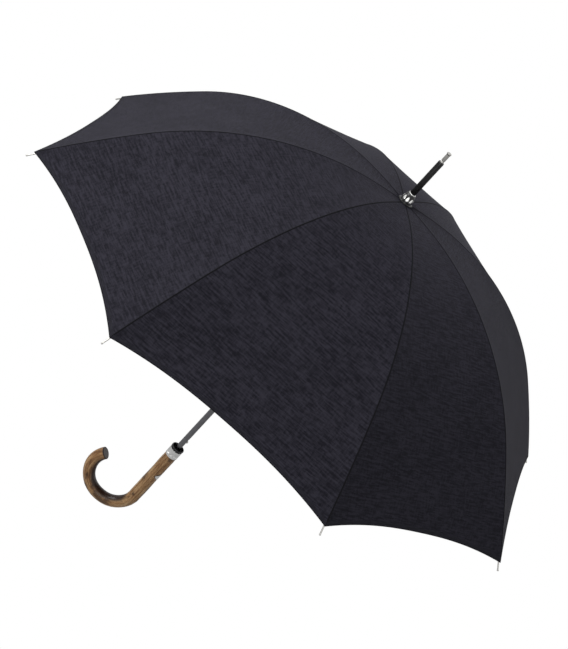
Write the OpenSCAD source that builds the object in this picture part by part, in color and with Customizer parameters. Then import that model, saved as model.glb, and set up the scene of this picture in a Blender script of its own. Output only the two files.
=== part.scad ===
// Stick umbrella, open: eight ribs on a ring wire, a sliding runner with eight stretchers,
// a coil spring inside the shaft and a push button in a wooden crook handle.
// Millimetres, +Z up the shaft to the ferrule; the origin is on the shaft's axis at the middle
// of the straight grip, and the crook bends towards -X.

/* [Canopy] */
// Length of a rib along its curve, from the ring wire to the corner of the cloth
rib_len = 604; // [560:1:650]
// Distance along the rib to the joint with its stretcher
knee_at = 282; // [260:1:300]
// Distance along the rib over which it is well curved; beyond that it is almost straight
bend_at = 431; // [400:1:460]
// Slope of the rib below level at the ring wire; it first rises a little
root_slope = -4.4; // [-6:0.1:-2]
// Slope of the rib below level at the end of its well curved stretch
bend_slope = 44.2; // [42:0.1:46]
// Slope of the rib below level at the corner of the cloth
tip_slope = 49.3; // [47:0.1:52]
// How far the mid-gore hangs in below a straight line between two ribs, at the hem
gore_sag = 2.7; // [0:0.1:12]
// Share of the rib's length that the hem is cut away at mid-gore
hem_cut = 0.033; // [0:0.001:0.05]
// Thickness of the canopy's closed solid
cloth_t = 0.8; // [0.6:0.1:1.5]

/* [Frame] */
// Height of the top ring wire above the middle of the grip
notch_z = 688.5; // [660:0.5:710]
// Radius of both ring wires' circles
hinge_r = 9.5; // [9:0.1:10.5]
// Width of the ribs' and stretchers' channel
chan_w = 3.2; // [3:0.1:3.6]
// Depth of the ribs' and stretchers' channel
chan_d = 2.6; // [2.4:0.1:3]
// Wall of the channel
chan_t = 0.5; // [0.4:0.05:0.6]
// Distance from the rib's centreline down to the stretcher's rivet
rivet_drop = 4.5; // [4.2:0.1:5.5]
// Angle between a closed rib's lower pivot and the shaft
closed_angle = 2; // [1.5:0.1:3]

/* [Shaft] */
// Outer radius of the shaft tube
shaft_r = 5; // [4.5:0.1:5.5]
// Wall of the shaft tube
shaft_t = 0.8; // [0.6:0.05:1]
// Length of the ferrule tube above the canopy's cap
ferrule_len = 70; // [50:0.5:90]
// Length of the metal spike on the ferrule
spike_len = 20; // [10:0.5:30]

/* [Handle] */
// Radius of the wooden crook
wood_r = 11.4; // [11:0.1:12]
// Length of the straight grip below the chrome band
grip_len = 112; // [90:1:120]
// Radius of the crook's centreline
hook_r = 48.2; // [42:0.1:60]
// Angle that the crook turns through
hook_turn = 214; // [170:1:220]
// How far the button travels
press = 2; // [1.5:0.1:2]

/* [Hidden] */
$fn = 48;
RIBS = 8;
PITCH = 360 / RIBS;
FIRST = PITCH / 2;
function names(stem) = [for (k = [1:RIBS]) str(stem, "_", k)];

/* Rib curve: two arcs in the rib's own upright plane, as [distance out, height] */
function on_arc(c, r, slope) = [c[0] + r * sin(slope), c[1] + r * cos(slope)];
function degrees_of(run, r) = run / r * 180 / PI;
HINGE = [hinge_r, notch_z];
BEND_R = bend_at / ((bend_slope - root_slope) * PI / 180);
END_R = (rib_len - bend_at) / ((tip_slope - bend_slope) * PI / 180);
BEND_C = [hinge_r - BEND_R * sin(root_slope), notch_z - BEND_R * cos(root_slope)];
BEND_END = on_arc(BEND_C, BEND_R, bend_slope);
END_C = [BEND_END[0] - END_R * sin(bend_slope), BEND_END[1] - END_R * cos(bend_slope)];
TIP = on_arc(END_C, END_R, tip_slope);
function rib_slope(s) = s < bend_at ? root_slope + degrees_of(s, BEND_R)
    : bend_slope + degrees_of(s - bend_at, END_R);
function rib_point(s) = s < bend_at ? on_arc(BEND_C, BEND_R, rib_slope(s))
    : on_arc(END_C, END_R, rib_slope(s));
KNEE = rib_point(knee_at);
KNEE_SLOPE = rib_slope(knee_at);

/* Linkage: each rib, its stretcher and the shaft make an equal-sided triangle */
RIVET = [KNEE[0] - rivet_drop * sin(KNEE_SLOPE), KNEE[1] - rivet_drop * cos(KNEE_SLOPE)];
RUNNER_Z = 2 * RIVET[1] - notch_z;
ARM = norm(RIVET - HINGE);
RUNNER_CLOSED_Z = notch_z - 2 * ARM * cos(closed_angle);
STRETCH_SLOPE = -atan2(RIVET[1] - RUNNER_Z, RIVET[0] - hinge_r);

/* Small parts of the linkage */
WIRE_R = 0.6;        // ring wires
EYE_R = 0.75;        // bore of each eye
TONGUE_T = 1.6;      // flattened end of a rib or stretcher
SLOT_W = 2.4;        // slot for a tongue in a ring
RING_R = 12;         // outer radius of the slotted rings
RING_H = 4;          // half-height of the slotted rings
SLOT_IN = 6.8;       // inner end of each slot
ROOT_LEN = 14;       // tongue at a ring wire
KNEE_GAP = 5;        // channel held back from the knee pin
PIN_R = 0.6;         // knee pin and rivet
STRIP_STEP = 13;     // length of each straight piece of the outer rib's curve
CLOTH_OFF = 2.6;     // underside of the cloth above the rib's centreline
CROWN_RISE = 1.4;    // extra rise of the cloth at the crown
CROWN_RUN = 60;      // distance along the rib in which that rise fades
CLOTH_S0 = -2.5;     // the cloth's inner edge, as a distance along the rib
CLOTH_ROWS = 18;
CLOTH_COLS = 4;
HEM_POWER = 2.4;
TIP_BALL_R = 1.6;
TIP_REACH = 12.9;    // from the corner of the cloth to the middle of the tip's ball

/* Shaft and cap */
BORE_R = shaft_r - shaft_t;
WASHER_Z = notch_z + 5.6;
CAP_Z = WASHER_Z + 1.7;
FERRULE_Z = notch_z + 24;
FERRULE_R = shaft_r + 0.2;
SPIKE_Z = FERRULE_Z + ferrule_len;
SPIKE_R = 3.35;

/* Runner and spring */
RUNNER_LEN = 28;     // from the runner's wire down to its foot
PIN_DROP = 16;       // from the runner's wire down to its cross pin
RUNNER_PIN_R = 0.9;
SEAT_H = 2.5;
FOOT_Z = RUNNER_CLOSED_Z - RUNNER_LEN;
LATCH_NOSE_Z = FOOT_Z - 11.4;
PLUG_Z = LATCH_NOSE_Z + 13;
PLUG_H = 5;

/* Handle */
BAND_Z = grip_len / 2;
BAND_H = 16.5;
CUP_NEST = 4.5;      // depth to which the cup sits inside the band
CUP_Z = BAND_Z + BAND_H - CUP_NEST;
CUP_H = 9.5;
BUTTON_Z = 7;
SHAFT_END_Z = -22;
BUTTON_X = shaft_r + 0.7 + press;      // back of the button's slot for the shaft
NOTCH_X = 1.7;       // apex of the notch in the grip
NOTCH_RISE = 1.1;    // slope of the notch's upper flank, and of the lower one
NOTCH_FALL = 1.2;

module at_rib(k) rotate([0, 0, FIRST + PITCH * (k - 1)]) children();
// Local x runs out along the rib, local z stands up from it
module along(p, slope) translate([p[0], 0, p[1]]) rotate([0, slope, 0]) children();
module across(r, w) rotate([90, 0, 0]) cylinder(r = r, h = w, center = true);
module plate(w) rotate([90, 0, 0]) linear_extrude(w, center = true) children();

// Channel's outline, open towards its lower side
module channel_outline() {
    d = chan_d / 2;
    w = chan_w / 2;
    polygon([[-d, -w], [d, -w], [d, w], [-d, w], [-d, w - chan_t],
        [d - chan_t, w - chan_t], [d - chan_t, chan_t - w], [-d, chan_t - w]]);
}

module channel_arc(c, r, from, to)
    translate([c[0], 0, c[1]]) rotate([90, 0, 0]) rotate([0, 0, 90 - to])
        rotate_extrude(angle = to - from, $fn = 96) translate([r, 0]) channel_outline();

// Side view of a strip along the rib's curve, between two heights off its centreline
function strip(from, to, low, high) =
    let (n = ceil((to - from) / STRIP_STEP),
        line = [for (i = [0:n]) from + (to - from) * i / n],
        at = function (s, lift) rib_point(s) + lift * [sin(rib_slope(s)), cos(rib_slope(s))])
    concat([for (s = line) at(s, low)], [for (i = [n:-1:0]) at(line[i], high)]);

// The same channel in one piece over both of the rib's arcs
module channel_strip(from, to) {
    d = chan_d / 2;
    difference() {
        plate(chan_w) polygon(strip(from, to, -d, d));
        plate(chan_w - 2 * chan_t) polygon(strip(from - 1, to + 1, -d - 1, d - chan_t));
    }
}

// Flattened end with an eye at x = 0, running towards +x
module tongue(len, eye) {
    difference() {
        union() {
            translate([0, -TONGUE_T / 2, -chan_d / 2]) cube([len, TONGUE_T, chan_d]);
            across(eye, TONGUE_T);
        }
        across(EYE_R, TONGUE_T + 1);
    }
}

// The two cheeks at the knee, with the knee pin and the stretcher's rivet
module knee_cheeks() {
    for (side = [-1, 1])
        translate([0, side * (chan_w - chan_t) / 2, 0]) plate(chan_t) {
            translate([-8, -chan_d / 2]) square([8, chan_d]);
            circle(r = chan_d / 2);
            translate([-2, -rivet_drop]) square([4, rivet_drop]);
            translate([0, -rivet_drop]) circle(r = 2);
        }
    across(PIN_R, chan_w);
    translate([0, 0, -rivet_drop]) {
        across(PIN_R, chan_w);
        for (side = [-1, 1]) translate([0, side * (chan_w / 2 + 0.2), 0]) across(1.2, 0.4);
    }
}

module rib_inner(k) color("dimgray") at_rib(k) {
    along(HINGE, root_slope) tongue(ROOT_LEN + 3, 1.5);
    channel_arc(BEND_C, BEND_R, rib_slope(ROOT_LEN), rib_slope(knee_at - KNEE_GAP));
    along(KNEE, KNEE_SLOPE) knee_cheeks();
}

module rib_outer(k) color("dimgray") at_rib(k) {
    along(KNEE, KNEE_SLOPE) tongue(KNEE_GAP + 3, 1.3);
    channel_strip(knee_at + KNEE_GAP, rib_len - 7);
}

module rib_tip(k) color("silver") at_rib(k) along(TIP, tip_slope) {
    translate([-12, 0, 0]) rotate([0, 90, 0]) cylinder(r = 0.6, h = 6, $fn = 24);
    translate([-6.8, 0, 0]) rotate([0, 90, 0]) cylinder(r = 1.25, h = TIP_REACH + 5.8, $fn = 24);
    translate([TIP_REACH, 0, 0]) sphere(r = TIP_BALL_R, $fn = 32);
}

module stretcher(k) color("gray") at_rib(k) along([hinge_r, RUNNER_Z], STRETCH_SLOPE) {
    start = ROOT_LEN - 1;
    end = ARM - 8;
    tongue(start + 3, 1.5);
    translate([ARM, 0, 0]) mirror([1, 0, 0]) tongue(11, 1.4);
    translate([start, 0, 0]) rotate([90, 0, 90]) linear_extrude(end - start)
        rotate([0, 0, 90]) channel_outline();
}

/* Cloth: a gore's rulings run level between its two ribs, and the mid-gore hangs in.
   u is 1 at the rib and 0 at mid-gore; side is -1 or 1; lift stands off the rib's centreline. */
function bulge(u) = 1 - pow(u, HEM_POWER);
function cloth_s(t, u) = CLOTH_S0 + t * (rib_len * (1 - hem_cut * bulge(u)) - CLOTH_S0);
function crown(s) = s < CROWN_RUN ? CROWN_RISE * pow(1 - s / CROWN_RUN, 2) : 0;
function cloth_point(s, u, side, lift) =
    let (a = rib_slope(s), p = rib_point(s), h = PITCH / 2,
        rise = lift + crown(s),
        r = p[0] + rise * sin(a),
        sag = gore_sag * p[0] / TIP[0] * bulge(u),
        out = r * cos(h) - sag * sin(a),
        beside = max(u * r * sin(h), 0.2))
    [out * cos(h) + beside * sin(h), side * (out * sin(h) - beside * cos(h)),
        p[1] + rise * cos(a) - sag * cos(a)];

module cloth_panel() {
    rows = CLOTH_ROWS;
    cols = 2 * CLOTH_COLS;
    per = cols + 1;
    layer = (rows + 1) * per;
    points = [for (lift = [CLOTH_OFF, CLOTH_OFF + cloth_t], i = [0:rows], j = [0:cols])
        let (w = (j - CLOTH_COLS) / CLOTH_COLS, u = 1 - abs(w))
        cloth_point(cloth_s(i / rows, u), u, w < 0 ? -1 : 1, lift)];
    function quad(a, b, c, d) = [[a, b, c], [a, c, d]];
    under = [for (i = [0:rows - 1], j = [0:cols - 1])
        let (a = i * per + j) each quad(a, a + per, a + per + 1, a + 1)];
    over = [for (f = under) [f[2] + layer, f[1] + layer, f[0] + layer]];
    ends = [for (j = [0:cols - 1], i = [0, rows])
        let (a = i * per + j, q = quad(a, a + 1, a + 1 + layer, a + layer))
        each i == 0 ? q : [for (f = q) [f[2], f[1], f[0]]]];
    sides = [for (i = [0:rows - 1], j = [0, cols])
        let (a = i * per + j, q = quad(a, a + layer, a + per + layer, a + per))
        each j == 0 ? q : [for (f = q) [f[2], f[1], f[0]]]];
    polyhedron(points, concat(under, over, ends, sides));
}

module canopy_panel(k) color([0.1, 0.1, 0.12]) at_rib(k) cloth_panel();

// Tie strap, lying on the cloth beside a seam on the far side, with its snap stud
module tie_strap() color([0.08, 0.08, 0.1]) at_rib(2) {
    lift = CLOTH_OFF + cloth_t + 0.5;
    fall = 0.33;
    near = 3;
    far = 17;
    strap_t = 0.8;
    translate([END_C[0], 0, END_C[1]]) rotate([90, 0, 0])
        rotate([0, 0, 90 - rib_slope(592)])
            rotate_extrude(angle = degrees_of(122, END_R), $fn = 720)
                translate([END_R + lift, 0])
                    polygon([[-fall * near, -near], [-fall * far, -far],
                        [strap_t - fall * far, -far], [strap_t - fall * near, -near]]);
    along(rib_point(480), rib_slope(480))
        translate([0, 10, lift + strap_t - fall * 10 - 0.3]) rotate([-atan(fall), 0, 0])
            cylinder(r = 4.5, h = 1.6);
}

// Slotted ring with a groove for its wire; both ends of the linkage use it
module slotted_ring(z, up, bore) {
    difference() {
        translate([0, 0, z - RING_H]) cylinder(r = RING_R, h = RING_H + up);
        translate([0, 0, z - RING_H - 1]) cylinder(r = bore, h = 2 * RING_H + 2);
        for (k = [1:RIBS]) at_rib(k)
            translate([SLOT_IN, -SLOT_W / 2, z - RING_H - 1]) cube([RING_R, SLOT_W, 2 * RING_H + 2]);
        translate([0, 0, z]) rotate_extrude() translate([hinge_r, 0])
            circle(r = WIRE_R + 0.05, $fn = 24);
    }
}

module ring_wire(z) translate([0, 0, z]) rotate_extrude() translate([hinge_r, 0])
    circle(r = WIRE_R, $fn = 24);

module notch() color("black") {
    slotted_ring(notch_z, 3.2, shaft_r);
    difference() {
        translate([0, 0, notch_z - 14]) cylinder(r = SLOT_IN, h = 14 - RING_H);
        translate([0, 0, notch_z - 15]) cylinder(r = shaft_r, h = 15);
    }
}
module notch_wire() color("silver") ring_wire(notch_z);

module runner() color("black") {
    bore = shaft_r + 0.1;
    slotted_ring(RUNNER_Z, RING_H, bore);
    difference() {
        union() {
            translate([0, 0, RUNNER_Z - RUNNER_LEN]) cylinder(r = 7.6, h = RUNNER_LEN - RING_H);
            translate([0, 0, RUNNER_Z - RUNNER_LEN]) cylinder(r = 9, h = 3);
        }
        translate([0, 0, RUNNER_Z - RUNNER_LEN - 1]) cylinder(r = bore, h = RUNNER_LEN);
        translate([0, 0, RUNNER_Z - PIN_DROP]) rotate([-90, 0, 0])
            cylinder(r = RUNNER_PIN_R, h = 12);
    }
}
module runner_wire() color("silver") ring_wire(RUNNER_Z);

// Cross pin with the spring's seat on its inner end
module runner_pin() color("silver") {
    translate([0, 0, RUNNER_Z - PIN_DROP]) {
        rotate([-90, 0, 0]) cylinder(r = RUNNER_PIN_R, h = 7.5);
        translate([0, 0, -SEAT_H]) cylinder(r = BORE_R - 0.3, h = 2 * SEAT_H);
    }
}

module opening_spring() color("gray") {
    foot = PLUG_Z + PLUG_H;
    difference() {
        translate([0, 0, foot]) cylinder(r = 3.6, h = RUNNER_Z - PIN_DROP - SEAT_H - foot);
        translate([0, 0, foot - 1]) cylinder(r = 2.8, h = RUNNER_Z - foot);
    }
}
module spring_plug() color("gray")
    translate([0, 0, PLUG_Z]) cylinder(r = BORE_R - 0.05, h = PLUG_H);

module top_stop() color("silver") translate([0, 0, RUNNER_Z + RING_H + 0.3]) difference() {
    cylinder(r = 6.4, h = 2.5);
    translate([0, 0, -1]) cylinder(r = shaft_r, h = 5);
}

module shaft_tube() color([0.25, 0.26, 0.28]) {
    low = RUNNER_CLOSED_Z - PIN_DROP - 2.5;
    high = RUNNER_Z - PIN_DROP + 2.5;
    difference() {
        translate([0, 0, SHAFT_END_Z]) cylinder(r = shaft_r, h = FERRULE_Z - SHAFT_END_Z);
        translate([0, 0, SHAFT_END_Z - 1]) cylinder(r = BORE_R, h = FERRULE_Z - SHAFT_END_Z + 2);
        translate([-1.2, 2, low]) cube([2.4, 5, high - low]);
        translate([2, -2.4, LATCH_NOSE_Z - 0.6]) cube([5, 4.8, 9.2]);
        translate([2, 0, BUTTON_Z]) rotate([0, 90, 0]) cylinder(r = 1.9, h = 5);
    }
}

module cap_washer() color("black") difference() {
    translate([0, 0, WASHER_Z]) cylinder(r = 13.5, h = CAP_Z - WASHER_Z);
    translate([0, 0, WASHER_Z - 1]) cylinder(r = shaft_r, h = 5);
}

// Domed cap with slots between its petals
module canopy_cap() color("silver") {
    h = FERRULE_Z - CAP_Z;
    difference() {
        translate([0, 0, CAP_Z]) rotate_extrude() polygon(concat(
            [[shaft_r, 0], [10.5, 0], [10.5, 3]],
            [for (a = [15:15:75]) [6.2 + 4.3 * cos(a), 3 + (h - 3) * sin(a)]],
            [[6.2, h], [shaft_r, h]]));
        for (k = [1:RIBS]) rotate([0, 0, PITCH * k])
            translate([8.6, -0.9, CAP_Z + 2.2]) cube([4, 1.8, 7]);
    }
}

module ferrule_tube() color("black") {
    difference() {
        translate([0, 0, FERRULE_Z]) cylinder(r = FERRULE_R, h = ferrule_len);
        translate([0, 0, SPIKE_Z - 9]) cylinder(r = BORE_R, h = 10);
    }
    translate([0, 0, FERRULE_Z - 14]) cylinder(r = BORE_R - 0.05, h = 14);
}

module ferrule_spike() color("silver") {
    translate([0, 0, SPIKE_Z - 8.8]) cylinder(r = BORE_R - 0.05, h = 8.8);
    translate([0, 0, SPIKE_Z]) cylinder(r = SPIKE_R, h = spike_len);
    translate([0, 0, SPIKE_Z + spike_len - 3]) cylinder(r = 4, h = 3);
}

// V-shaped notch in the grip, cut past the shaft from the side away from the crook
module button_notch() translate([NOTCH_X, 0, BUTTON_Z]) plate(30)
    polygon([[0, 0], [wood_r, -NOTCH_FALL * wood_r], [wood_r, NOTCH_RISE * wood_r]]);

module handle_crook() color([0.45, 0.27, 0.13]) difference() {
    union() {
        translate([0, 0, -BAND_Z]) cylinder(r = wood_r, h = CUP_Z + BAND_Z);
        translate([-hook_r, 0, -BAND_Z]) rotate([-90, 0, 0])
            rotate_extrude(angle = hook_turn, $fn = 96) translate([hook_r, 0]) circle(r = wood_r);
    }
    translate([0, 0, SHAFT_END_Z]) cylinder(r = shaft_r, h = 200);
    button_notch();
}

module collar_band() color("silver") difference() {
    translate([0, 0, BAND_Z]) cylinder(r = wood_r + 0.6, h = BAND_H);
    translate([0, 0, BAND_Z - 1]) cylinder(r = wood_r, h = BAND_H + 2);
}

// Cup for the closed ribs' ends: it sits inside the band and flares out above it
module tip_cup() color("black") translate([0, 0, CUP_Z]) rotate_extrude()
    polygon([[shaft_r, 0], [wood_r, 0], [wood_r, CUP_NEST + 0.1], [wood_r + 0.8, CUP_NEST + 1.5],
        [wood_r + 0.8, CUP_H - 0.8], [wood_r + 0.3, CUP_H], [10.6, CUP_H], [10.6, 1.5],
        [shaft_r, 1.5]]);

// Push button: a wedge that fills the notch and straddles the shaft, with its stem
module button() color("silver") translate([0, 0, BUTTON_Z]) {
    difference() {
        intersection() {
            plate(20) polygon([[4, 0], [11.5, -8], [12.5, 0], [11.5, 7.2]]);
            translate([0, 0, -10]) cylinder(r = wood_r, h = 20);
        }
        translate([0, -shaft_r - 0.4, -10]) cube([BUTTON_X, 2 * shaft_r + 0.8, 20]);
    }
    translate([1.8, 0, 0]) rotate([0, 90, 0]) cylinder(r = 1.5, h = BUTTON_X - 1.7);
}

// Strip inside the shaft that the button pulls on, with the hook for the closed runner
module latch_bar() color("gray") plate(4)
    polygon([[1, -8], [1.8, -8], [1.8, LATCH_NOSE_Z], [6.8, LATCH_NOSE_Z],
        [6.8, LATCH_NOSE_Z + 2], [1.8, LATCH_NOSE_Z + 8], [1, LATCH_NOSE_Z + 8]]);

module button_spring() color("gray") translate([shaft_r + 0.1, 0, BUTTON_Z]) rotate([0, 90, 0])
    difference() {
        cylinder(r = 2.9, h = BUTTON_X - shaft_r - 0.2);
        translate([0, 0, -1]) cylinder(r = 2.3, h = 5);
    }

shaft_tube();
handle_crook();
collar_band();
tip_cup();
notch();
notch_wire();
canopy_cap();
cap_washer();
ferrule_tube();
ferrule_spike();
top_stop();
opening_spring();
spring_plug();
latch_bar();
button();
button_spring();
runner();
runner_wire();
runner_pin();
tie_strap();
for (k = [1:RIBS]) {
    rib_inner(k);
    rib_outer(k);
    rib_tip(k);
    stretcher(k);
    canopy_panel(k);
}
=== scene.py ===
"""Looks of an open stick umbrella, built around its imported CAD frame.

Lengths are in millimetres until a mesh is made. A rib's own frame has x out along the rib,
y sideways and z up; u runs from 1 at a rib to 0 at the middle of a gore, and s is the
distance along the rib.
"""
import math

import bmesh
import bpy
from mathutils import Matrix, Vector


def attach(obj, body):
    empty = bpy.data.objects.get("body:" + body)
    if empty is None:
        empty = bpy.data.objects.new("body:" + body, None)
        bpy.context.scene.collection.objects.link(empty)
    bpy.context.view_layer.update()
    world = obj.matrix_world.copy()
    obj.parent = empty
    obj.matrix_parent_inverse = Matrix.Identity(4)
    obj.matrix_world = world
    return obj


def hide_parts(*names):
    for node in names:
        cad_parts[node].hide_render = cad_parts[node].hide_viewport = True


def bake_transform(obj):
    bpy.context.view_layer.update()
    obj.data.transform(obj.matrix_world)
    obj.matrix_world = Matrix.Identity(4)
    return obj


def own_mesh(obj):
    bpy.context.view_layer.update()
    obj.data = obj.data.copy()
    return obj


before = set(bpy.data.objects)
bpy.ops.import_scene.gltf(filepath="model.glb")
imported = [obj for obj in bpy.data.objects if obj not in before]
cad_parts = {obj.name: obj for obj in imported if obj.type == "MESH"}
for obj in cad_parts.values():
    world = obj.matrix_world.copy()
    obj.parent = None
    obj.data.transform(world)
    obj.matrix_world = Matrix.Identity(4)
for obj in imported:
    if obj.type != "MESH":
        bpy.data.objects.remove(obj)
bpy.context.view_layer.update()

MM = 0.001
RIBS = 8
PITCH = 360 / RIBS
HALF = math.radians(PITCH / 2)

# Camera: turn, tilt and roll in degrees, lens and sensor in mm, place in mm
CAMERA_AZIMUTH = -2.851
CAMERA_ELEVATION = 24.725
CAMERA_ROLL = 42.638
CAMERA_LENS = 89.26
CAMERA_SENSOR = 36
CAMERA_PLACE = (-131.57, -2447.12, 1519.11)

# Light: strength of the white world as a light and where metal mirrors it, and the floor
WORLD_LIGHT = 0.24
WORLD_MIRRORED = 0.8
FLOOR_MIRRORED = 0.3
FLOOR_HALF = 30       # metres
FLOOR_Z = -1.2        # metres

# Canopy, as in the CAD
RIB_LEN = 604
KNEE_AT = 282
BEND_AT = 431
ROOT_SLOPE = -4.4
BEND_SLOPE = 44.2
TIP_SLOPE = 49.3
GORE_SAG = 2.7
HEM_CUT = 0.033
HEM_POWER = 2.4
HINGE_R = 9.5
NOTCH_Z = 688.5
CROWN_RISE = 1.4
CROWN_RUN = 60
CLOTH_S0 = -2.5

# Cloth pieces
CLOTH_LIFT = 3.1      # middle of the cloth above the rib's centreline
CLOTH_T = 0.4
INNER_ROWS = 44
OUTER_ROWS = 50
CLOTH_COLS = 22
HEM_W = 7.5
SEAM_W = 1.25         # half width of the ridge over a seam
ALLOWANCE = 6         # seam allowance on the underside
BLEND_RUN = 12        # a seam turns over this distance on each side of the knee

# Shaft, cap and handle, as in the CAD
SHAFT_R = 5
WASHER_Z = NOTCH_Z + 5.6
CAP_Z = WASHER_Z + 1.7
FERRULE_Z = NOTCH_Z + 24
FERRULE_R = 5.2
FERRULE_LEN = 70
SPIKE_Z = FERRULE_Z + FERRULE_LEN
SPIKE_LEN = 20
SPIKE_R = 3.35
WOOD_R = 11.4
BAND_Z = 56
BAND_H = 16.5
CUP_NEST = 4.5
CUP_Z = BAND_Z + BAND_H - CUP_NEST
CUP_H = 9.5
HOOK_R = 48.2
HOOK_TURN = 214
BUTTON_Z = 7
BUTTON_X = 7.7
NOTCH_X = 1.7
NOTCH_RISE = 1.1
NOTCH_FALL = 1.2
WEDGE_X = 4           # apex of the button's wedge, with the slopes of its lower and upper flanks
NOTCH_WEDGE = (8 / 7.5, 7.2 / 7.5)


# ---------------------------------------------------------------- camera, light and floor

def set_camera():
    """A long lens from above and in front, rolled so that the shaft leans across the picture."""
    azimuth, elevation, roll = (
        math.radians(a) for a in (CAMERA_AZIMUTH, CAMERA_ELEVATION, CAMERA_ROLL))
    forward = Vector((-math.sin(azimuth) * math.cos(elevation),
                      math.cos(azimuth) * math.cos(elevation), -math.sin(elevation)))
    level = forward.cross(Vector((0, 0, 1))).normalized()
    upright = level.cross(forward)
    right = level * math.cos(roll) + upright * math.sin(roll)
    up = upright * math.cos(roll) - level * math.sin(roll)
    data = bpy.data.cameras.new("camera")
    data.sensor_width = CAMERA_SENSOR
    data.lens = CAMERA_LENS
    data.clip_end = 100
    camera = bpy.data.objects.new("camera", data)
    place = Matrix((right, up, -forward)).transposed().to_4x4()
    place.translation = Vector(CAMERA_PLACE) * MM
    camera.matrix_world = place
    bpy.context.scene.collection.objects.link(camera)
    bpy.context.scene.camera = camera
    return right, up, forward


def area_light(name, place, aim, size, power):
    """A soft square light at place, in metres, that faces aim."""
    data = bpy.data.lights.new(name, "AREA")
    data.shape = "SQUARE"
    data.size = size
    data.energy = power
    light = bpy.data.objects.new(name, data)
    light.location = place
    light.rotation_euler = (Vector(aim) - Vector(place)).to_track_quat("-Z", "Y").to_euler()
    bpy.context.scene.collection.objects.link(light)


def set_world(strength, mirrored):
    """White to the camera, dimmer as a light, and in between where metal mirrors it."""
    world = bpy.data.worlds.new("studio")
    world.use_nodes = True
    tree = world.node_tree
    dim = tree.nodes["Background"]
    dim.inputs["Color"].default_value = (1, 1, 1, 1)
    dim.inputs["Strength"].default_value = strength
    white = tree.nodes.new("ShaderNodeBackground")
    white.inputs["Color"].default_value = (1, 1, 1, 1)
    bright = tree.nodes.new("ShaderNodeBackground")
    bright.inputs["Color"].default_value = (1, 1, 1, 1)
    bright.inputs["Strength"].default_value = mirrored
    rays = tree.nodes.new("ShaderNodeLightPath")
    lit = tree.nodes.new("ShaderNodeMixShader")
    both = tree.nodes.new("ShaderNodeMixShader")
    tree.links.new(rays.outputs["Is Glossy Ray"], lit.inputs["Fac"])
    tree.links.new(dim.outputs["Background"], lit.inputs[1])
    tree.links.new(bright.outputs["Background"], lit.inputs[2])
    tree.links.new(rays.outputs["Is Camera Ray"], both.inputs["Fac"])
    tree.links.new(lit.outputs["Shader"], both.inputs[1])
    tree.links.new(white.outputs["Background"], both.inputs[2])
    tree.links.new(both.outputs["Shader"], tree.nodes["World Output"].inputs["Surface"])
    bpy.context.scene.world = world


def make_floor():
    """A wide pale floor well below: white to the camera, dimmer in metal and as a light."""
    mat = bpy.data.materials.new("floor")
    mat.use_nodes = True
    tree = mat.node_tree
    pale = tree.nodes["Principled BSDF"]
    pale.inputs["Base Color"].default_value = (0.42, 0.42, 0.43, 1)
    pale.inputs["Roughness"].default_value = 0.9
    white = tree.nodes.new("ShaderNodeEmission")
    rays = tree.nodes.new("ShaderNodeLightPath")
    seen = tree.nodes.new("ShaderNodeMath")
    seen.operation = "MULTIPLY_ADD"
    seen.inputs[1].default_value = FLOOR_MIRRORED
    tree.links.new(rays.outputs["Is Glossy Ray"], seen.inputs[0])
    tree.links.new(rays.outputs["Is Camera Ray"], seen.inputs[2])
    both = tree.nodes.new("ShaderNodeMixShader")
    tree.links.new(seen.outputs[0], both.inputs["Fac"])
    tree.links.new(pale.outputs["BSDF"], both.inputs[1])
    tree.links.new(white.outputs["Emission"], both.inputs[2])
    tree.links.new(both.outputs["Shader"], tree.nodes["Material Output"].inputs["Surface"])
    half, z = FLOOR_HALF, FLOOR_Z
    mesh = bpy.data.meshes.new("floor")
    corners = [(-half, -half, z), (half, -half, z), (half, half, z), (-half, half, z)]
    mesh.from_pydata(corners, [], [(0, 1, 2, 3)])
    mesh.materials.append(mat)
    floor = bpy.data.objects.new("floor", mesh)
    bpy.context.scene.collection.objects.link(floor)


def set_scene():
    right, up, forward = set_camera()
    centre = Vector((0, 0, 0.5))
    set_world(WORLD_LIGHT, WORLD_MIRRORED)
    area_light("key", centre - right * 0.9 + up * 3.0 - forward * 1.7, centre, 2.2, 84)
    area_light("fill", centre - right * 0.6 - up * 0.4 - forward * 3.0, centre, 1.6, 16)
    make_floor()
    bpy.context.scene.view_settings.view_transform = "Standard"


# ---------------------------------------------------------------- mesh helpers

def mesh_object(name, points, faces, mat, sharp=35):
    """A smooth-shaded object from points in millimetres, with edges over the sharp angle kept crisp."""
    mesh = bpy.data.meshes.new(name)
    mesh.from_pydata([Vector(p) * MM for p in points], [], faces)
    work = bmesh.new()
    work.from_mesh(mesh)
    bmesh.ops.recalc_face_normals(work, faces=work.faces)
    work.to_mesh(mesh)
    work.free()
    mesh.shade_smooth()
    mesh.set_sharp_from_angle(angle=math.radians(sharp))
    mesh.materials.append(mat)
    obj = bpy.data.objects.new(name, mesh)
    bpy.context.scene.collection.objects.link(obj)
    return obj


def skin(rings, loop=False):
    """Points and faces through rings of equally many points; loop joins the last ring to the first."""
    per, count = len(rings[0]), len(rings)
    points = [p for ring in rings for p in ring]
    faces = []
    for i in range(count if loop else count - 1):
        a, b = i * per, (i + 1) % count * per
        faces += [(a + j, a + (j + 1) % per, b + (j + 1) % per, b + j) for j in range(per)]
    if not loop:
        faces += [tuple(range(per)), tuple(range((count - 1) * per, count * per))]
    return points, faces


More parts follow.
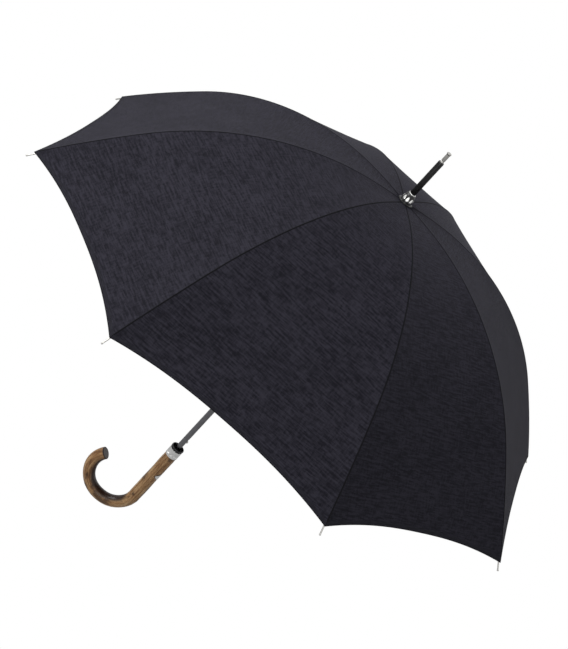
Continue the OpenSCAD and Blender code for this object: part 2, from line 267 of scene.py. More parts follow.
def rounded(outline, radius, steps=4):
    """The closed outline with each corner turned into a short curve."""
    made = []
    for i, corner in enumerate(outline):
        before, after = Vector(outline[i - 1]), Vector(outline[(i + 1) % len(outline)])
        corner = Vector(corner)
        run_in = min(radius, 0.45 * (before - corner).length)
        run_out = min(radius, 0.45 * (after - corner).length)
        start = corner + (before - corner).normalized() * run_in
        end = corner + (after - corner).normalized() * run_out
        for j in range(steps + 1):
            t = j / steps
            made.append(start * (1 - t) ** 2 + corner * 2 * t * (1 - t) + end * t ** 2)
    return made


def lathe(name, outline, mat, z=0, around=72, radius=0.35, swell=None):
    """A closed outline of (radius, height) turned about the shaft, with its corners rounded."""
    rings = []
    for i in range(around):
        a = 2 * math.pi * i / around
        more = swell(a) if swell else 1
        rings.append([(p.x * more * math.cos(a), p.x * more * math.sin(a), z + p.y)
                      for p in rounded(outline, radius)])
    return mesh_object(name, *skin(rings, loop=True), mat)


def spring(name, place, mat, radius, wire, length, turns):
    """A round coil; place turns a point of the coil, with its axis along z, into the row frame."""
    per_turn, rings = 16, []
    pitch = length / turns
    for i in range(per_turn * turns + 1):
        a = 2 * math.pi * i / per_turn
        out = Vector((math.cos(a), math.sin(a), 0))
        centre = out * radius + Vector((0, 0, pitch * i / per_turn))
        ring = []
        for j in range(8):
            b = 2 * math.pi * j / 8
            ring.append(place(centre + out * wire * math.cos(b) + Vector((0, 0, wire * math.sin(b)))))
        rings.append(ring)
    return mesh_object(name, *skin(rings), mat, sharp=60)


def store(mesh, name, kind, values):
    """A value for each vertex, kept as a mesh attribute that a material reads."""
    layer = mesh.attributes.new(name, kind, "POINT")
    for item, value in zip(layer.data, values):
        if kind == "FLOAT":
            item.value = value
        else:
            item.vector = value


def give_uv(mesh, name, values):
    """A UV layer from one (u, v) pair for each vertex."""
    layer = mesh.uv_layers.new(name=name)
    for loop in mesh.loops:
        layer.data[loop.index].uv = values[loop.vertex_index]


def ride(obj, body, slot, *nodes):
    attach(obj, body)
    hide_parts(*nodes)
    return obj


# ---------------------------------------------------------------- material helpers

def shader(name, **values):
    """A new material and its Principled shader, with constant sockets set from values."""
    mat = bpy.data.materials.new(name)
    mat.use_nodes = True
    for socket, value in values.items():
        mat.node_tree.nodes["Principled BSDF"].inputs[socket.replace("_", " ")].default_value = value
    return mat


def add(mat, kind, inputs, **settings):
    """A node whose inputs are sockets to link or constants to set."""
    made = mat.node_tree.nodes.new("ShaderNode" + kind)
    for name, value in settings.items():
        setattr(made, name, value)
    for name, value in inputs.items():
        if isinstance(value, bpy.types.NodeSocket):
            mat.node_tree.links.new(value, made.inputs[name])
        else:
            made.inputs[name].default_value = value
    return made


def into(mat, socket, value):
    mat.node_tree.links.new(value, mat.node_tree.nodes["Principled BSDF"].inputs[socket])


def uv_map(mat, name):
    return add(mat, "UVMap", {}, uv_map=name).outputs["UV"]


def place(mat):
    return add(mat, "TexCoord", {}).outputs["Object"]


def stretched(mat, vector, scale):
    return add(mat, "Mapping", {"Vector": vector, "Scale": scale}).outputs["Vector"]


def noise(mat, vector, scale, detail=4, roughness=0.55):
    inputs = {"Vector": vector, "Scale": scale, "Detail": detail, "Roughness": roughness}
    return add(mat, "TexNoise", inputs).outputs["Fac"]


def bands(mat, vector, scale, direction):
    inputs = {"Vector": vector, "Scale": scale}
    return add(mat, "TexWave", inputs, bands_direction=direction).outputs["Fac"]


def calc(mat, operation, a, b=0.5):
    return add(mat, "Math", {0: a, 1: b}, operation=operation).outputs[0]


def spread(mat, value, low, high, to_low=0, to_high=1):
    inputs = {"Value": value, "From Min": low, "From Max": high, "To Min": to_low, "To Max": to_high}
    return add(mat, "MapRange", inputs, interpolation_type="SMOOTHSTEP").outputs["Result"]


def mixed(mat, factor, a, b, blend="MIX"):
    made = add(mat, "Mix", {0: factor, 6: a, 7: b}, data_type="RGBA", blend_type=blend)
    return made.outputs[2]


def ramp(mat, value, *stops):
    made = add(mat, "ValToRGB", {"Fac": value})
    ends = made.color_ramp.elements
    while len(ends) < len(stops):
        ends.new(0.5)
    for end, (position, colour) in zip(ends, stops):
        end.position = position
        end.color = (*colour, 1)
    return made.outputs["Color"]


def bumped(mat, height, distance, strength=1.0, under=None):
    inputs = {"Height": height, "Distance": distance, "Strength": strength}
    if under:
        inputs["Normal"] = under
    return add(mat, "Bump", inputs).outputs["Normal"]


# ---------------------------------------------------------------- materials

def cloth_material(name, dark, light):
    """Woven polyester: threads and slubs along the weft, with painted shade beside a seam and at the hem."""
    mat = shader(name, Specular_IOR_Level=0.05, Sheen_Weight=0.03, Sheen_Roughness=0.4,
                 Sheen_Tint=(0.75, 0.72, 1, 1))
    cloth = uv_map(mat, "Cloth")
    weave = calc(mat, "MULTIPLY", bands(mat, cloth, 420, "X"), bands(mat, cloth, 420, "Y"))
    weft = noise(mat, stretched(mat, cloth, (45, 300, 1)), 1, 4, 0.7)
    warp = noise(mat, stretched(mat, cloth, (300, 80, 1)), 1, 3, 0.6)
    threads = calc(mat, "ADD", calc(mat, "MULTIPLY", weft, 0.7), calc(mat, "MULTIPLY", warp, 0.3))
    cloudy = noise(mat, cloth, 9, 3)
    tone = calc(mat, "ADD", calc(mat, "MULTIPLY", threads, 0.85), calc(mat, "MULTIPLY", cloudy, 0.15))
    split = add(mat, "SeparateXYZ", {"Vector": uv_map(mat, "Edges")}).outputs
    from_seam, from_hem = split["X"], split["Y"]
    # Painted shade: the cloth is darkened within about two millimetres of a seam and of the hem
    shade = spread(mat, from_seam, 0.0006, 0.0024, 0.5, 1)
    hem_painted_shade = spread(mat, from_hem, 0.0004, 0.0018, 0.5, 1)
    colour = ramp(mat, tone, (0.43, dark), (0.57, light))
    into(mat, "Base Color", mixed(mat, 1.0, colour, calc(mat, "MULTIPLY", shade, hem_painted_shade), "MULTIPLY"))
    into(mat, "Roughness", spread(mat, threads, 0.3, 0.7, 0.52, 0.72))
    pull = noise(mat, stretched(mat, cloth, (40, 160, 1)), 1, 2)
    near = spread(mat, from_seam, 0.0, 0.016, 1, 0)
    pucker = calc(mat, "MULTIPLY", calc(mat, "MULTIPLY", pull, near), 2.5)
    height = calc(mat, "ADD", calc(mat, "ADD", weave, calc(mat, "MULTIPLY", threads, 1.6)), pucker)
    into(mat, "Normal", bumped(mat, height, 0.00025, 0.6))
    return mat


def stitch_material(name, base, thread, pitch, rows, rim_shade=1.0):
    """A sewn edge: cloth with rows of stitches, where the UV runs along the edge and across it, in metres."""
    mat = shader(name, Roughness=0.75, Specular_IOR_Level=0.12)
    edge = uv_map(mat, "Cloth")
    split = add(mat, "SeparateXYZ", {"Vector": edge}).outputs
    phase = calc(mat, "FRACT", calc(mat, "DIVIDE", split["X"], pitch), 0)
    dash = spread(mat, calc(mat, "ABSOLUTE", calc(mat, "SUBTRACT", phase, 0.5)), 0.3, 0.4, 1, 0)
    sewn = 0.0
    for row in rows:
        off = calc(mat, "ABSOLUTE", calc(mat, "SUBTRACT", split["Y"], row))
        line = spread(mat, off, 0.00022, 0.0004, 1, 0)
        sewn = calc(mat, "MAXIMUM", calc(mat, "MULTIPLY", line, dash), sewn)
    grain = noise(mat, stretched(mat, edge, (90, 620, 1)), 1, 3)
    soft = tuple(2 * c for c in base)
    colour = mixed(mat, sewn, ramp(mat, grain, (0.38, base), (0.62, soft)), (*thread, 1))
    rim = spread(mat, split["Y"], 0.0009, 0.0016, rim_shade, 1)
    into(mat, "Base Color", mixed(mat, 1.0, colour, rim, "MULTIPLY"))
    height = calc(mat, "ADD", calc(mat, "MULTIPLY", sewn, 2.0), grain)
    into(mat, "Normal", bumped(mat, height, 0.00015, 0.7))
    return mat


def wood_material():
    """Varnished wood: long grain, darker knots and rings, and darker on the inner curve of the bend and on
    the end face.
    """
    mat = shader("wood", Coat_Weight=0.14, Coat_Roughness=0.12, Specular_IOR_Level=0.3)
    grain = add(mat, "Attribute", {}, attribute_name="grain").outputs["Vector"]
    knot = add(mat, "Attribute", {}, attribute_name="knot").outputs["Fac"]
    curve_and_end_dark = add(mat, "Attribute", {}, attribute_name="curve_and_end_dark").outputs["Fac"]
    streak = noise(mat, stretched(mat, grain, (420, 420, 26)), 1, 6, 0.65)
    pores = noise(mat, stretched(mat, grain, (1800, 1800, 160)), 1, 3, 0.6)
    blotch = noise(mat, stretched(mat, grain, (70, 70, 34)), 1, 4, 0.6)
    wavy = calc(mat, "ADD", streak, calc(mat, "MULTIPLY", blotch, 0.55))
    body = ramp(mat, calc(mat, "MULTIPLY", wavy, 0.66),
                (0.34, (0.060, 0.024, 0.010)), (0.43, (0.32, 0.155, 0.062)),
                (0.52, (0.54, 0.31, 0.140)), (0.64, (0.76, 0.51, 0.27)))
    flame = spread(mat, noise(mat, stretched(mat, grain, (52, 52, 26)), 1, 3, 0.5), 0.53, 0.64, 0, 0.78)
    body = mixed(mat, flame, body, (0.060, 0.026, 0.013, 1))
    # The wood is made darker on the inner curve of the bend and on the end face
    patchy = spread(mat, calc(mat, "ADD", curve_and_end_dark, calc(mat, "MULTIPLY", blotch, 0.5)), 0.55, 1.0)
    darkened = mixed(mat, patchy, body, (0.034, 0.016, 0.010, 1))
    ringed = mixed(mat, calc(mat, "MINIMUM", knot, 0.85), darkened, (0.045, 0.020, 0.012, 1))
    speck = spread(mat, pores, 0.36, 0.46, 0.55, 1)
    into(mat, "Base Color", mixed(mat, 1.0, ringed, speck, "MULTIPLY"))
    into(mat, "Roughness", spread(mat, streak, 0.3, 0.7, 0.42, 0.3))
    height = calc(mat, "ADD", streak, calc(mat, "MULTIPLY", pores, 0.5))
    into(mat, "Normal", bumped(mat, height, 0.00025, 0.35))
    return mat


def metal_material(name, colour, roughness, brushed=(60, 60, 900), wear=0.06):
    """Plated metal with fine drawn lines and faint handling marks."""
    mat = shader(name, Metallic=1.0)
    where = place(mat)
    lines = noise(mat, stretched(mat, where, brushed), 1, 4, 0.6)
    marks = noise(mat, where, 160, 5, 0.6)
    dull = tuple(0.82 * c for c in colour)
    into(mat, "Base Color", ramp(mat, marks, (0.3, dull), (0.6, colour)))
    rough = spread(mat, marks, 0.3, 0.7, roughness + wear, roughness)
    into(mat, "Roughness", calc(mat, "ADD", rough, calc(mat, "MULTIPLY", lines, 0.04)))
    into(mat, "Normal", bumped(mat, lines, 0.00004, 0.25))
    return mat


def coated_material(name, colour, roughness, metallic=0.0, coat=0.0, grit=420):
    """Moulded plastic, paint or lacquer: near-even colour, a fine orange peel and small scuffs."""
    mat = shader(name, Metallic=metallic, Coat_Weight=coat, Coat_Roughness=0.08)
    where = place(mat)
    scuff = noise(mat, where, 90, 6, 0.65)
    peel = noise(mat, where, grit, 2)
    light = tuple(min(1.0, 1.5 * c + 0.004) for c in colour)
    into(mat, "Base Color", ramp(mat, scuff, (0.42, colour), (0.72, light)))
    into(mat, "Roughness", spread(mat, scuff, 0.35, 0.7, roughness, roughness + 0.1))
    into(mat, "Normal", bumped(mat, peel, 0.00006, 0.3))
    return mat


# ---------------------------------------------------------------- the rib's curve and the cloth on it

def on_arc(centre, radius, slope):
    return Vector((centre.x + radius * math.sin(slope), centre.y + radius * math.cos(slope)))


ROOT, BEND, END = (math.radians(a) for a in (ROOT_SLOPE, BEND_SLOPE, TIP_SLOPE))
BEND_R = BEND_AT / (BEND - ROOT)
END_R = (RIB_LEN - BEND_AT) / (END - BEND)
HINGE = Vector((HINGE_R, NOTCH_Z))
BEND_C = HINGE - BEND_R * Vector((math.sin(ROOT), math.cos(ROOT)))
END_C = on_arc(BEND_C, BEND_R, BEND) - END_R * Vector((math.sin(BEND), math.cos(BEND)))


def rib_slope(s):
    return ROOT + s / BEND_R if s < BEND_AT else BEND + (s - BEND_AT) / END_R


def rib_point(s):
    if s < BEND_AT:
        return on_arc(BEND_C, BEND_R, rib_slope(s))
    return on_arc(END_C, END_R, rib_slope(s))


KNEE = rib_point(KNEE_AT)
KNEE_SLOPE = rib_slope(KNEE_AT)
TIP = rib_point(RIB_LEN)


def bulge(u):
    return 1 - u ** HEM_POWER


def cloth_s(t, u):
    return CLOTH_S0 + t * (RIB_LEN * (1 - HEM_CUT * bulge(u)) - CLOTH_S0)


def half_width(s):
    """Distance across the cloth from a rib to the middle of the gore."""
    return max(rib_point(s).x * math.sin(HALF), 1.0)


def cloth_point(s, u, side, lift):
    """A point of the canopy in a rib's own frame."""
    slope, p = rib_slope(s), rib_point(s)
    rise = lift + (CROWN_RISE * (1 - s / CROWN_RUN) ** 2 if s < CROWN_RUN else 0)
    r = p.x + rise * math.sin(slope)
    sag = GORE_SAG * p.x / TIP.x * bulge(u)
    out = r * math.cos(HALF) - sag * math.sin(slope)
    beside = u * r * math.sin(HALF)
    return Vector((out * math.cos(HALF) + beside * math.sin(HALF),
                   side * (out * math.sin(HALF) - beside * math.cos(HALF)),
                   p.y + rise * math.cos(slope) - sag * math.cos(slope)))


def beside_seam(s, off, lift):
    """A point of the canopy off millimetres to the side of a seam."""
    u = max(1 - abs(off) / half_width(s), 0)
    return cloth_point(s, u, 1 if off >= 0 else -1, lift)


def azimuth(k):
    return math.radians(PITCH * (k - 0.5))


def at_rib(k, points):
    turn = Matrix.Rotation(azimuth(k), 3, "Z")
    return [turn @ Vector(p) for p in points]


def ripple(gore, s, u, side):
    """Shallow folds that run in from the two lower corners of a gore, where the cloth is stretched."""
    along = RIB_LEN - s
    across = (1 - u) * half_width(s)
    reach = math.hypot(along, across)
    angle = math.atan2(across, along)
    fade = math.exp(-reach / 120) * (1 - math.exp(-reach / 18)) * (1 - u ** 6)
    phase = 1.7 * gore + (0.9 if side > 0 else 0)
    gather = 0.35 * math.exp(-max(s, 0) / 16) * math.cos(6 * math.pi * u)
    return 0.55 * fade * math.sin(26 * angle + phase) + gather


# ---------------------------------------------------------------- canopy

def cut_at_knee(u, side):
    """How far down a gore its inner cloth ends: level with the knee, square to the rib."""
    along = Vector((math.cos(KNEE_SLOPE), -math.sin(KNEE_SLOPE)))
    low, high = 0.2, 0.9
    for _ in range(30):
        t = (low + high) / 2
        p = cloth_point(cloth_s(t, u), u, side, CLOTH_LIFT)
        if (Vector((p.x, p.z)) - KNEE).dot(along) < 0:
            low = t
        else:
            high = t
    return low


def half_gore(k, side, outer, mat):
    """Half a gore's cloth on one side of a rib, from the crown to the knee or from the knee to the hem."""
    rows = OUTER_ROWS if outer else INNER_ROWS
    gore = k if side > 0 else (k - 2) % RIBS + 1
    top, under, cloth, edges = [], [], [], []
    flat_area, widest = 0.0, 0.0
    cuts = [cut_at_knee(j / CLOTH_COLS, side) for j in range(CLOTH_COLS + 1)]
    for i in range(rows + 1):
        for j, cut in enumerate(cuts):
            u = j / CLOTH_COLS
            first, last = (cut, 1) if outer else (0, cut)
            s = cloth_s(first + (last - first) * i / rows, u)
            lift = CLOTH_LIFT + ripple(gore, s, u, side)
            top.append(cloth_point(s, u, side, lift + CLOTH_T / 2))
            under.append(cloth_point(s, u, side, lift - CLOTH_T / 2))
            width = half_width(s)
            cloth.append((side * (1 - u) * width * MM - side * width * MM, s * MM))
            from_hem = cloth_s(1, u) - s
            edges.append(((1 - u) * width * MM, from_hem * MM))
    per, layer = CLOTH_COLS + 1, len(top)
    faces = []
    for i in range(rows):
        for j in range(CLOTH_COLS):
            a = i * per + j
            face = (a, a + 1, a + per + 1, a + per)
            faces += [face, tuple(v + layer for v in reversed(face))]
            sides = [top[v] for v in face]
            flat_area += ((sides[2] - sides[0]).cross(sides[3] - sides[1])).length / 2
        widest = max(widest, (top[i * per] - top[i * per + CLOTH_COLS]).length)
    rim = [j for j in range(per)] + [i * per + CLOTH_COLS for i in range(1, rows + 1)]
    rim += [rows * per + j for j in range(CLOTH_COLS - 1, -1, -1)] + [i * per for i in range(rows - 1, 0, -1)]
    for a, b in zip(rim, rim[1:] + rim[:1]):
        faces.append((b, a, a + layer, b + layer))
    widest = max(widest, (top[rows * per] - top[rows * per + CLOTH_COLS]).length)
    name = f"gore_{'outer' if outer else 'inner'}_{k}_{'left' if side > 0 else 'right'}"
    obj = mesh_object(name, at_rib(k, top + under), faces, mat, sharp=50)
    give_uv(obj.data, "Cloth", cloth * 2)
    give_uv(obj.data, "Edges", edges * 2)
    length = sum((top[(i + 1) * per] - top[i * per]).length for i in range(rows))
    longest = max(length, flat_area / widest)
    return obj, (widest * MM, longest * MM), flat_area * MM * MM


def fold_flat(obj, k, side, outer):
    """Gives a piece of cloth on a rib its own mesh; the axis and anchor worked out here are not used."""
    if outer:
        start, end, middle = KNEE, TIP, (KNEE_AT + RIB_LEN) / 2
    else:
        start, end, middle = HINGE, KNEE, KNEE_AT / 2
    slope = math.atan2(start.y - end.y, end.x - start.x)
    lift = CLOTH_LIFT * Vector((math.sin(slope), math.cos(slope)))
    centre = ((start + end) / 2 + rib_point(middle)) / 2 + lift
    inward = math.sin(HALF) * math.sin(slope)
    axis = (-inward * math.sin(slope), side * math.cos(HALF), -inward * math.cos(slope))
    axis, anchor = at_rib(k, [axis, (centre.x, 0, centre.y)])
    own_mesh(obj)
    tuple(axis)


def hem(k, side, mat):
    """The turned-up edge of half a gore, wrapped round the cloth."""
    outline = rounded([(0, 0.55), (HEM_W, 0.42), (HEM_W, -0.42), (0, -0.55)], 0.5, 3)
    rings, sewn = [], []
    for j in range(2 * CLOTH_COLS + 1):
        u = j / (2 * CLOTH_COLS)
        rings.append([cloth_point(cloth_s(1, u) - p.x + 0.4, u, side, CLOTH_LIFT + p.y) for p in outline])
        sewn += [((1 - u) * half_width(RIB_LEN) * MM, p.x * MM) for p in outline]
    points, faces = skin(rings)
    obj = mesh_object(f"hem_{k}_{'left' if side > 0 else 'right'}", at_rib(k, points), faces, mat)
    give_uv(obj.data, "Cloth", sewn)
    return obj


def seam(k, mat):
    """The ridge over a rib where two gores are sewn together, with its allowance below."""
    outline = [(-SEAM_W, 0.1), (-0.7, 0.45), (0, 0.55), (0.7, 0.45), (SEAM_W, 0.1), (ALLOWANCE, -0.25),
               (ALLOWANCE, -0.6), (0, -0.7), (-ALLOWANCE, -0.6), (-ALLOWANCE, -0.25)]
    rings, sewn = [], []
    count = 150
    for i in range(count + 1):
        s = 4 + (RIB_LEN - 5) * i / count
        rings.append([beside_seam(s, off, CLOTH_LIFT + up) for off, up in outline])
        sewn += [(s * MM, off * MM) for off, up in outline]
    points, faces = skin(rings)
    obj = mesh_object(f"seam_{k}", at_rib(k, points), faces, mat, sharp=60)
    give_uv(obj.data, "Cloth", sewn)
    return obj


def make_canopy(cloth, hem_cloth, seam_cloth):
    for k in range(1, RIBS + 1):
        ridge = seam(k, seam_cloth)
        for side in (1, -1):
            inner, inner_flat, inner_area = half_gore(k, side, False, cloth)
            outer, outer_flat, outer_area = half_gore(k, side, True, cloth)
            edge = hem(k, side, hem_cloth)
            ride(inner, f"rib_{k}", "cloth", f"canopy_panel_{k}")
            ride(outer, f"rib_end_{k}", "cloth", f"canopy_panel_{k}")
            ride(edge, f"rib_end_{k}", "cloth")
            for piece, is_outer in ((inner, False), (outer, True), (edge, True)):
                fold_flat(piece, k, side, is_outer)
        ends = (rib_point(KNEE_AT - BLEND_RUN), rib_point(KNEE_AT + BLEND_RUN))
        near, far = at_rib(k, [(p.x, 0, p.y) for p in ends])
        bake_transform(ridge)


def tie_strap(mat, snap_mat):
    """A stitched strap that lies beside a seam on the far side, with its snap."""
    k, near, far, start, end = 2, 3, 17, 470, 592
    outline = rounded([(near, 0.35), (far, 0.35), (far, 1.15), (near, 1.15)], 0.4, 3)
    rings, sewn = [], []
    count = 60
    for i in range(count + 1):
        s = start + (end - start) * i / count
        # The free end is rounded off
        tuck = 7 * (1 - math.sqrt(max(0, 1 - max(0, 1 - (s - start) / 7) ** 2)))
        middle, reach = (near + far) / 2, (far - near) / 2
        share = (reach - min(tuck, reach - 1)) / reach
        rings.append([beside_seam(s, middle + (p.x - middle) * share, CLOTH_LIFT + p.y) for p in outline])
        sewn += [(s * MM, (p.x - near) * MM) for p in outline]
    points, faces = skin(rings)
    strap = mesh_object("strap", at_rib(k, points), faces, mat)
    give_uv(strap.data, "Cloth", sewn)
    ride(strap, "rib_end_2", "strap", "tie_strap")
    stud = lathe("strap_snap", [(0.01, 0), (4.6, 0), (4.6, 0.7), (3.6, 1.3), (1.4, 0.8), (0.01, 0.8)],
                 snap_mat, around=40, radius=0.3)
    s, off = start + 10, (near + far) / 2
    foot, above = (beside_seam(s, off, CLOTH_LIFT + up) for up in (1.1, 2.1))
    foot, above = at_rib(k, [foot, above])
    lean = (above - foot).to_track_quat("Z", "Y").to_matrix().to_4x4()
    lean.translation = foot * MM
    stud.data.transform(lean)
    ride(stud, "rib_end_2", "bright_metal")


# ---------------------------------------------------------------- crown

def petal(i, mat):
    """One of the bright leaves of the cap: bowed in both directions, with soft edges."""
    height = FERRULE_Z - CAP_Z - 1
    rows, cols, thick = 14, 8, 0.9
    outer, inner = [], []
    for a in range(rows + 1):
        t = a / rows
        rise = 0.6 + (height - 0.6) * t
        radius = 6.3 + 4.6 * math.cos(math.radians(90 * t)) ** 0.8
        span = math.radians(PITCH / 2 - 5.5 - 2.5 * t)
        for b in range(cols + 1):
            c = 2 * b / cols - 1
            angle = math.radians(PITCH * i) + c * span
            soft = 0.55 * abs(c) ** 3 + 0.5 * max(0, 1 - 8 * t) ** 2
            for made, r in ((outer, radius - soft), (inner, radius - thick - 0.2)):
                made.append((r * math.cos(angle), r * math.sin(angle), CAP_Z + rise))
    per, layer = cols + 1, len(outer)
    faces = []
    for a in range(rows):
        for b in range(cols):
            v = a * per + b
            faces += [(v, v + 1, v + per + 1, v + per),
                      (v + layer, v + per + layer, v + per + 1 + layer, v + 1 + layer)]
    rim = list(range(per)) + [a * per + cols for a in range(1, rows + 1)]
    rim += [rows * per + b for b in range(cols - 1, -1, -1)] + [a * per for a in range(rows - 1, 0, -1)]
    faces += [(b, a, a + layer, b + layer) for a, b in zip(rim, rim[1:] + rim[:1])]
    return mesh_object(f"cap_petal_{i}", outer + inner, faces, mat, sharp=45)


def make_crown(chrome, black, ferrule_black, tip_metal):
    """Black washer, petalled cap, ferrule tube and spike."""
    washer = lathe("cap_disc", [(SHAFT_R, 0), (13.4, 0), (13.4, 1.1), (11.2, 1.7), (SHAFT_R, 1.7)],
                   black, WASHER_Z, around=96, swell=lambda a: 1 + 0.03 * math.cos(RIBS * a))
    ride(washer, "stick", "black_plastic", "cap_washer")
    height = FERRULE_Z - CAP_Z
    liner = [(SHAFT_R, 0), (10.6, 0), (10.4, 2)]
    liner += [(5.6 + 4.4 * math.cos(math.radians(a)), 2 + (height - 3) * math.sin(math.radians(a)))
              for a in range(15, 90, 15)]
    liner += [(5.4, height - 1), (SHAFT_R, height - 1)]
    dark = lathe("cap_liner", liner, black, CAP_Z, radius=0.3)
    ride(dark, "stick", "black_plastic", "canopy_cap")
    for i in range(RIBS):
        ride(petal(i, chrome), "stick", "bright_metal")
    neck = lathe("cap_neck", [(SHAFT_R, height - 1.6), (6.6, height - 1.6), (6.4, height), (SHAFT_R, height)],
                 chrome, CAP_Z, radius=0.4)
    ride(neck, "stick", "bright_metal")
    tube = [(0.01, -14), (SHAFT_R - 0.9, -14), (SHAFT_R - 0.9, 0.05), (FERRULE_R, 0.05),
            (FERRULE_R, FERRULE_LEN), (3.4, FERRULE_LEN), (3.2, FERRULE_LEN - 2), (0.01, FERRULE_LEN - 2)]
    ferrule = lathe("ferrule", tube, ferrule_black, FERRULE_Z, radius=0.6)
    ride(ferrule, "stick", "ferrule_black", "ferrule_tube")
    spike = [(0.01, -1.9), (SPIKE_R - 0.3, -1.9), (SPIKE_R, 0.4), (SPIKE_R, 2.2), (SPIKE_R - 0.35, 2.6),
             (SPIKE_R - 0.35, 3.2), (SPIKE_R, 3.6), (SPIKE_R, SPIKE_LEN - 3.4), (4, SPIKE_LEN - 2.6),
             (4, SPIKE_LEN - 0.5), (3.2, SPIKE_LEN), (0.01, SPIKE_LEN)]
    ride(lathe("spike", spike, tip_metal, SPIKE_Z, radius=0.3), "stick", "tip_metal", "ferrule_spike")


# ---------------------------------------------------------------- handle

# Knots, as (distance down the crook, angle round it, size)
KNOTS = [(38, 2.6, 3.4), (83, 0.5, 4.2), (118, 4.4, 3.6), (152, 1.6, 4.4), (187, 3.3, 3.8),
         (228, 5.4, 4.4), (262, 0.2, 3.4), (128, 5.9, 3.0), (205, 1.9, 3.0)]
END_ROUND = 1.5       # rounding of the crook's end
NOTCH_REACH = 14      # the notch is cut this far out from its apex
CUT_ACROSS = 32       # and this wide, right through the grip


def crook_frame(run):
    """Centre of the crook at a distance from its top, with the directions out of the bend and along it."""
    straight = CUP_Z + BAND_Z
    if run <= straight:
        return Vector((0, 0, CUP_Z - run)), Vector((1, 0, 0)), Vector((0, 0, -1))
    turn = (run - straight) / HOOK_R
    out = Vector((math.cos(turn), 0, -math.sin(turn)))
    return Vector((-HOOK_R, 0, -BAND_Z)) + HOOK_R * out, out, Vector((-math.sin(turn), 0, -math.cos(turn)))


def around_to(angle, other):
    """Distance round the grip between two angles."""
    return WOOD_R * math.remainder(angle - other, 2 * math.pi)


def handle(mat):
    """The bent wooden crook, a little uneven, with knots, a rounded end and the button's notch."""
    around, straight = 64, CUP_Z + BAND_Z
    whole = straight + HOOK_R * math.radians(HOOK_TURN)
    count = 230
    stations = [(whole * i / count, WOOD_R) for i in range(count)]
    stations = [(run, r) for run, r in stations if run < whole - END_ROUND - 0.1]
    stations += [(whole - END_ROUND + END_ROUND * math.sin(a),
                  WOOD_R - END_ROUND + END_ROUND * math.cos(a))
                 for a in (math.radians(15 * i) for i in range(7))]
    stations += [(whole, r) for r in (7, 4, 1)]
    rings, grain, knots, curve_and_end_dark = [], [], [], []
    for run, radius in stations:
        centre, out, along = crook_frame(run)
        bent = min(1, max(0, (run - straight + 14) / 40))
        ring = []
        for j in range(around):
            a = 2 * math.pi * j / around
            dark = max(math.exp(-((run - at) ** 2 + around_to(a, turn) ** 2) / size ** 2)
                       for at, turn, size in KNOTS)
            uneven = 0.16 * math.sin(run / 13 + 2 * a) + 0.12 * math.sin(run / 7.1 - 3 * a)
            free = min(1, max(0, (run - BAND_H - 2) / 6))
            r = radius + free * (uneven + 0.45 * dark) * min(1, radius / WOOD_R)
            r = min(r, WOOD_R + 0.6)
            ring.append(centre + r * (math.cos(a) * out + math.sin(a) * Vector((0, 1, 0))))
            grain.append(Vector((r * math.cos(a), r * math.sin(a), run)) * MM)
            knots.append(dark ** 1.5)
            # Darker towards the inner side of the bend, and fully dark on the end face
            inside = max(0, -math.cos(a)) ** 0.7
            face = 1.0 if run > whole - 1.2 else 0.0
            curve_and_end_dark.append(max(bent * inside * 0.85, face))
        rings.append(ring)
    obj = mesh_object("crook", *skin(rings), mat, sharp=50)
    store(obj.data, "grain", "FLOAT_VECTOR", grain)
    store(obj.data, "knot", "FLOAT", knots)
    store(obj.data, "curve_and_end_dark", "FLOAT", curve_and_end_dark)
    far = NOTCH_X + NOTCH_REACH
    cut_out(obj, "notch", [(NOTCH_X, 0), (far, -NOTCH_FALL * NOTCH_REACH),
                           (far, NOTCH_RISE * NOTCH_REACH)], CUT_ACROSS)
    return ride(obj, "stick", "wood", "handle_crook")


def cut_out(obj, name, outline, across):
    """Cuts an outline in (x, z), across millimetres wide about the shaft, out of a piece."""
    rings = [[(x, y, BUTTON_Z + z) for x, z in outline] for y in (-across / 2, across / 2)]
    cutter = mesh_object("cutter", *skin(rings), obj.data.materials[0])
    cut = obj.modifiers.new(name, "BOOLEAN")
    cut.object = cutter
    cut.solver = "EXACT"
    done = bpy.data.meshes.new_from_object(obj.evaluated_get(bpy.context.evaluated_depsgraph_get()))
    obj.modifiers.clear()
    obj.data = done
    done.set_sharp_from_angle(angle=math.radians(40))
    bpy.data.objects.remove(cutter)


def push_button(mat):
    """The bright wedge that fills the notch and straddles the shaft, with eased edges."""
    rings = []
    slices = [(-9.6, 0.5), (-9.3, 0.15), (-8.9, 0), *((y, 0) for y in range(-8, 9)),
              (8.9, 0), (9.3, 0.15), (9.6, 0.5)]
    for y, inset in slices:
        face = math.sqrt(max(WOOD_R ** 2 - y ** 2, 0)) - inset
        fall, rise = NOTCH_WEDGE
        reach = face - WEDGE_X
        corners = [(WEDGE_X + inset, 0), (face, -fall * reach), (face + 0.05, 0), (face, rise * reach)]
        rings.append([(p.x, y, BUTTON_Z + p.y) for p in rounded(corners, 0.45, 3)])
    obj = mesh_object("push_button", *skin(rings), mat, sharp=50)
    cut_out(obj, "slot", [(0, -12), (BUTTON_X, -12), (BUTTON_X, 12), (0, 12)], 2 * SHAFT_R + 0.8)
    return ride(obj, "button", "bright_metal", "button")


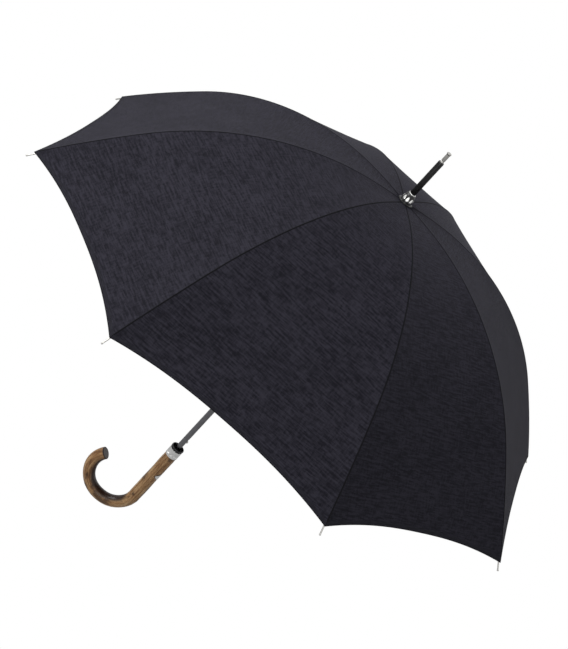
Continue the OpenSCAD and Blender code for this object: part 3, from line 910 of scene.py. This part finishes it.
def make_handle(wood, chrome, black, steel):
    handle(wood)
    push_button(chrome)
    outer = WOOD_R + 0.6
    band = [(WOOD_R - 0.4, 0), (outer, 0), (outer, 5.1), (outer - 0.4, 5.5), (outer - 0.4, 6.0),
            (outer, 6.4), (outer, BAND_H), (WOOD_R - 0.4, BAND_H)]
    ride(lathe("collar", band, chrome, BAND_Z, around=96, radius=0.3), "stick", "bright_metal", "collar_band")
    cup = [(SHAFT_R, 0), (WOOD_R - 0.5, 0), (WOOD_R - 0.5, CUP_NEST),
           (WOOD_R + 0.8, CUP_NEST + 1.5), (WOOD_R + 0.8, CUP_H - 0.8), (WOOD_R + 0.3, CUP_H),
           (10.6, CUP_H), (10.4, 2.6), (6.4, 1.5), (SHAFT_R, 1.5)]
    ride(lathe("cup", cup, black, CUP_Z, around=96, radius=0.4), "stick", "black_plastic", "tip_cup")
    gap, wire = 0.4, 0.22
    coil = spring("button_coil", lambda p: Vector((SHAFT_R + gap + p.z, p.y, BUTTON_Z + p.x)), steel,
                  radius=2.6, wire=wire, length=BUTTON_X - SHAFT_R - 2 * gap, turns=4)
    ride(coil, "stick", "spring_steel", "button_spring")
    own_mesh(coil)


# ---------------------------------------------------------------- the CAD nodes that stay

def finish_cad_nodes(rules):
    """Gives each CAD node that is still shown its material; rules maps the start of a name to one."""
    for name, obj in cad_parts.items():
        for start, mat in rules.items():
            if name.startswith(start):
                obj.data.materials.clear()
                obj.data.materials.append(mat)


def main():
    set_scene()
    cloth = cloth_material("cloth", (0.0125, 0.0120, 0.0175), (0.040, 0.038, 0.052))
    hem_cloth = stitch_material("hem_cloth", (0.012, 0.0117, 0.0165), (0.030, 0.029, 0.037), 0.0032,
                                (0.0058,), 0.12)
    # The seam's cloth is painted near black, as painted shade along each seam; its stitches stay lighter
    seam_cloth = stitch_material("seam_cloth", (0.002, 0.002, 0.003), (0.016, 0.016, 0.020), 0.0028,
                                 (0.0034, -0.0034))
    strap_cloth = stitch_material("strap_cloth", (0.010, 0.010, 0.013), (0.040, 0.040, 0.048), 0.003,
                                  (0.0018, 0.0122))
    chrome = metal_material("chrome", (0.86, 0.86, 0.84), 0.09)
    shaft_steel = metal_material("shaft_steel", (0.20, 0.20, 0.21), 0.2, (900, 900, 30))
    rib_steel = coated_material("rib_steel", (0.045, 0.045, 0.05), 0.35, metallic=0.6)
    stretcher_steel = metal_material("stretcher_steel", (0.33, 0.33, 0.35), 0.3)
    tip_metal = metal_material("tip_metal", (0.62, 0.61, 0.58), 0.2)
    spring_steel = metal_material("spring_steel", (0.45, 0.44, 0.42), 0.25)
    black = coated_material("black_plastic", (0.008, 0.008, 0.009), 0.28)
    ferrule_black = coated_material("ferrule_black", (0.002, 0.002, 0.002), 0.2, coat=0.1)

    make_canopy(cloth, hem_cloth, seam_cloth)
    tie_strap(strap_cloth, chrome)
    make_crown(chrome, black, ferrule_black, tip_metal)
    make_handle(wood_material(), chrome, black, spring_steel)
    finish_cad_nodes({
        "shaft_tube": shaft_steel, "notch": black, "notch_wire": spring_steel, "top_stop": chrome,
        "opening_spring": spring_steel, "spring_plug": spring_steel, "latch_bar": spring_steel,
        "runner": black, "runner_wire": spring_steel, "runner_pin": spring_steel,
        "rib_inner": rib_steel, "rib_outer": rib_steel, "rib_tip": tip_metal,
        "stretcher": stretcher_steel,
    })


main()
